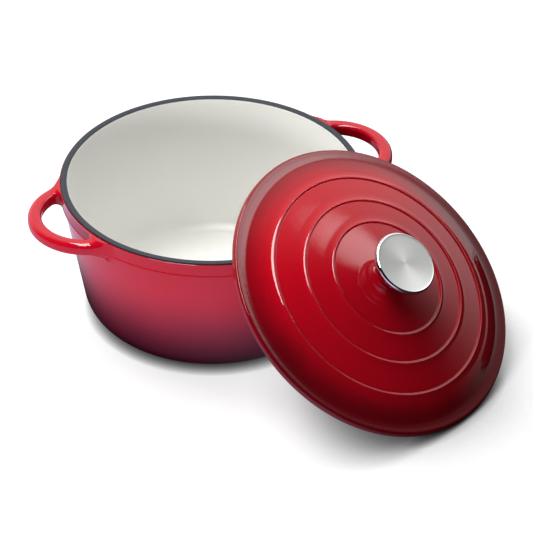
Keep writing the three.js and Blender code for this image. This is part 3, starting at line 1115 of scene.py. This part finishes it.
def add_disc(name, radius, height, material):
    """A round sheet for the object to stand on."""
    sides = 96
    angles = [2 * math.pi * k / sides for k in range(sides)]
    points = [(radius * math.cos(a), radius * math.sin(a), height) for a in angles]
    mesh = bpy.data.meshes.new(name)
    mesh.from_pydata(points, [], [list(range(sides))])
    mesh.materials.append(material)
    disc = add_object(name, mesh)
    return disc


def openness(nodes, reach):
    """How open the floor is to the sky within a reach, from 0 to 1."""
    node = nodes.new("ShaderNodeAmbientOcclusion")
    node.inputs["Distance"].default_value = reach
    return node.outputs["AO"]


def add_floor():
    """A white floor with painted shadows in its colour and glow, which stay close to the object, and reach
    out only by the lid's foot.
    """
    material, nodes, links, shader = new_material("floor", Roughness=0.9)
    shader.inputs["Specular IOR Level"].default_value = 0.0
    shader.inputs["Emission Color"].default_value = (1, 1, 1, 1)
    near = math_node(nodes, links, "POWER", openness(nodes, NEAR_SHADOW_REACH), NEAR_SHADOW_POWER)
    by_lid = distance_share(nodes, links, LID_FOOT, *LID_SHADOW_REACH)
    power = math_node(nodes, links, "MULTIPLY", by_lid, WIDE_SHADOW_POWER)
    wide = math_node(nodes, links, "POWER", openness(nodes, WIDE_SHADOW_REACH), power)
    # Painted shadow: the floor's colour and glow are darkened together where it is closed in.
    open_share = math_node(nodes, links, "MULTIPLY", near, wide)
    colour = math_node(nodes, links, "MULTIPLY", open_share, FLOOR_COLOUR)
    brightness = math_node(nodes, links, "MULTIPLY", open_share, FLOOR_BRIGHTNESS)
    links.new(colour, shader.inputs["Base Color"])
    links.new(brightness, shader.inputs["Emission Strength"])
    floor = add_disc("floor", FLOOR_RADIUS, 0.0, material)
    floor.visible_glossy = floor.visible_diffuse = floor.visible_shadow = False


def add_floor_glow():
    """A dark sheet that only other surfaces see, glowing pale blue along the pot's left side; close round the
    pot the glow is left out, a painted shadow in the enamel's reflections.
    """
    material, nodes, links, shader = new_material("floor_glow", Roughness=0.9)
    shader.inputs["Base Color"].default_value = (0.02, 0.02, 0.02, 1)
    shader.inputs["Specular IOR Level"].default_value = 0.0
    shader.inputs["Emission Color"].default_value = GLOW_DISC_COLOUR
    ring = distance_share(nodes, links, GLOW_RING_CENTRE, *GLOW_RING_REACH)
    side = map_node(nodes, links, dot_node(nodes, links, position(nodes), GLOW_SIDE), *GLOW_SIDE_REACH)
    share = math_node(nodes, links, "MULTIPLY", ring, side)
    brightness = math_node(nodes, links, "MULTIPLY", share, GLOW_DISC_BRIGHTNESS)
    links.new(brightness, shader.inputs["Emission Strength"])
    glow = add_disc("floor_glow", GLOW_DISC_RADIUS, -GLOW_DISC_DROP, material)
    glow.visible_camera = False


# ---- Lights ----

STRIP_CENTRE = heading(90, 0, 0.32) + Vector((0, 0, 2.2))
STRIP_SIZE = (0.35, 2.3)
STRIP_RADIANCE = {"strip_highlight": 15, "strip_light": 9.8}
KEY_AIM = Vector((0.04, -0.07, 0.08))
KEY_SIDE = heading(60, 58, 1)
KEY_DISTANCE = 3.0
KEY_SIZE = (1.25, 1.25)
KEY_RADIANCE = 9.8
FILL_SIDE = heading(152, 0, 1)
FILL_DISTANCE = 2.5
FILL_HEIGHT = 0.25
FILL_SIZE = (1.6, 0.4)
FILL_RADIANCE = 16


def add_softbox(name, centre, rotation, size, radiance):
    """A rectangular softbox that the camera itself can't see."""
    width, length = size
    data = bpy.data.lights.new(name, "AREA")
    data.shape = "RECTANGLE"
    data.size, data.size_y = width, length
    data.energy = radiance * width * length * math.pi
    light = add_object(name, data)
    light.location = centre
    light.rotation_mode = "QUATERNION"
    light.rotation_quaternion = rotation
    light.visible_camera = False
    return light


def add_lights():
    """A long strip overhead, as one light for highlights and one for matt surfaces, and two softboxes."""
    along_view = Matrix.Rotation(CAMERA_HEADING - math.pi / 2, 3, "Z").to_quaternion()
    for name, radiance in STRIP_RADIANCE.items():
        strip = add_softbox(name, STRIP_CENTRE, along_view, STRIP_SIZE, radiance)
        strip.visible_diffuse = name == "strip_light"
        strip.visible_glossy = name == "strip_highlight"
    to_key = (-KEY_SIDE).to_track_quat("-Z", "Y")
    key = add_softbox("key_softbox", KEY_AIM + KEY_SIDE * KEY_DISTANCE, to_key, KEY_SIZE, KEY_RADIANCE)
    key.visible_glossy = False
    to_fill = (-FILL_SIDE).to_track_quat("-Z", "Y")
    fill_centre = FILL_SIDE * FILL_DISTANCE + Vector((0, 0, FILL_HEIGHT))
    fill = add_softbox("fill_softbox", fill_centre, to_fill, FILL_SIZE, FILL_RADIANCE)
    fill.visible_glossy = False


# ---- World ----

ROOM_BRIGHTNESS = 0.01
BACKDROP_SIDE = heading(0, 4, 1)
BACKDROP_EDGES = (95, 30)
BACKDROP_BRIGHTNESS = 1.05
GLOW_CENTRE = heading(-61, 49, 1)
GLOW_EDGES = (17.5, 3)
GLOW_LIMIT_SIDE = heading(15.5, 0, 1)
GLOW_LIMIT_EDGES = (97, 88)
GLOW_ON_GLOSS = 3.6
GLOW_ON_MATT = 1.0


def direction_share(nodes, links, direction, towards, edges):
    """From 0 to 1 as the direction turns, in degrees, from the first edge to the second away from towards."""
    start, end = (math.cos(math.radians(edge)) for edge in edges)
    return map_node(nodes, links, dot_node(nodes, links, direction, towards), start, end)


def add_world():
    """A dim room with a white backdrop behind the object and a soft glow high on its right."""
    world = bpy.data.worlds.new("studio")
    bpy.context.scene.world = world
    world.use_nodes = True
    nodes, links = world.node_tree.nodes, world.node_tree.links
    direction = nodes.new("ShaderNodeTexCoord").outputs["Generated"]
    path = nodes.new("ShaderNodeLightPath")
    backdrop = direction_share(nodes, links, direction, BACKDROP_SIDE, BACKDROP_EDGES)
    backdrop = math_node(nodes, links, "MULTIPLY_ADD", backdrop, BACKDROP_BRIGHTNESS, ROOM_BRIGHTNESS)
    glow = direction_share(nodes, links, direction, GLOW_CENTRE, GLOW_EDGES)
    limit = direction_share(nodes, links, direction, GLOW_LIMIT_SIDE, GLOW_LIMIT_EDGES)
    matt = path.outputs["Is Diffuse Ray"]
    strength = math_node(nodes, links, "MULTIPLY_ADD", matt, GLOW_ON_MATT - GLOW_ON_GLOSS, GLOW_ON_GLOSS)
    glow = math_node(nodes, links, "MULTIPLY", math_node(nodes, links, "MULTIPLY", glow, limit), strength)
    light = math_node(nodes, links, "ADD", backdrop, glow)
    light = math_node(nodes, links, "MAXIMUM", light, path.outputs["Is Camera Ray"])
    background = nodes["Background"]
    background.inputs["Color"].default_value = (1, 1, 1, 1)
    links.new(light, background.inputs["Strength"])
    world.cycles.sampling_method = "NONE"


# ---- Camera ----


def add_camera():
    """A long lens, looking down on the pot from in front."""
    data = bpy.data.cameras.new("camera")
    data.lens = CAMERA_LENS
    data.sensor_width = 36
    data.clip_start, data.clip_end = 0.1, 60
    camera = add_object("camera", data)
    back = CAMERA_HEADING + CAMERA_SWING + math.pi
    camera.location = pointing(back, CAMERA_RISE) * CAMERA_DISTANCE
    camera.rotation_mode = "QUATERNION"
    camera.rotation_quaternion = pointing(CAMERA_HEADING, CAMERA_PITCH).to_track_quat("-Z", "Y")
    bpy.context.scene.camera = camera


add_floor()
add_floor_glow()
add_world()
add_lights()
add_camera()

scene = bpy.context.scene
scene.view_settings.view_transform = "Standard"
scene.cycles.use_denoising = True
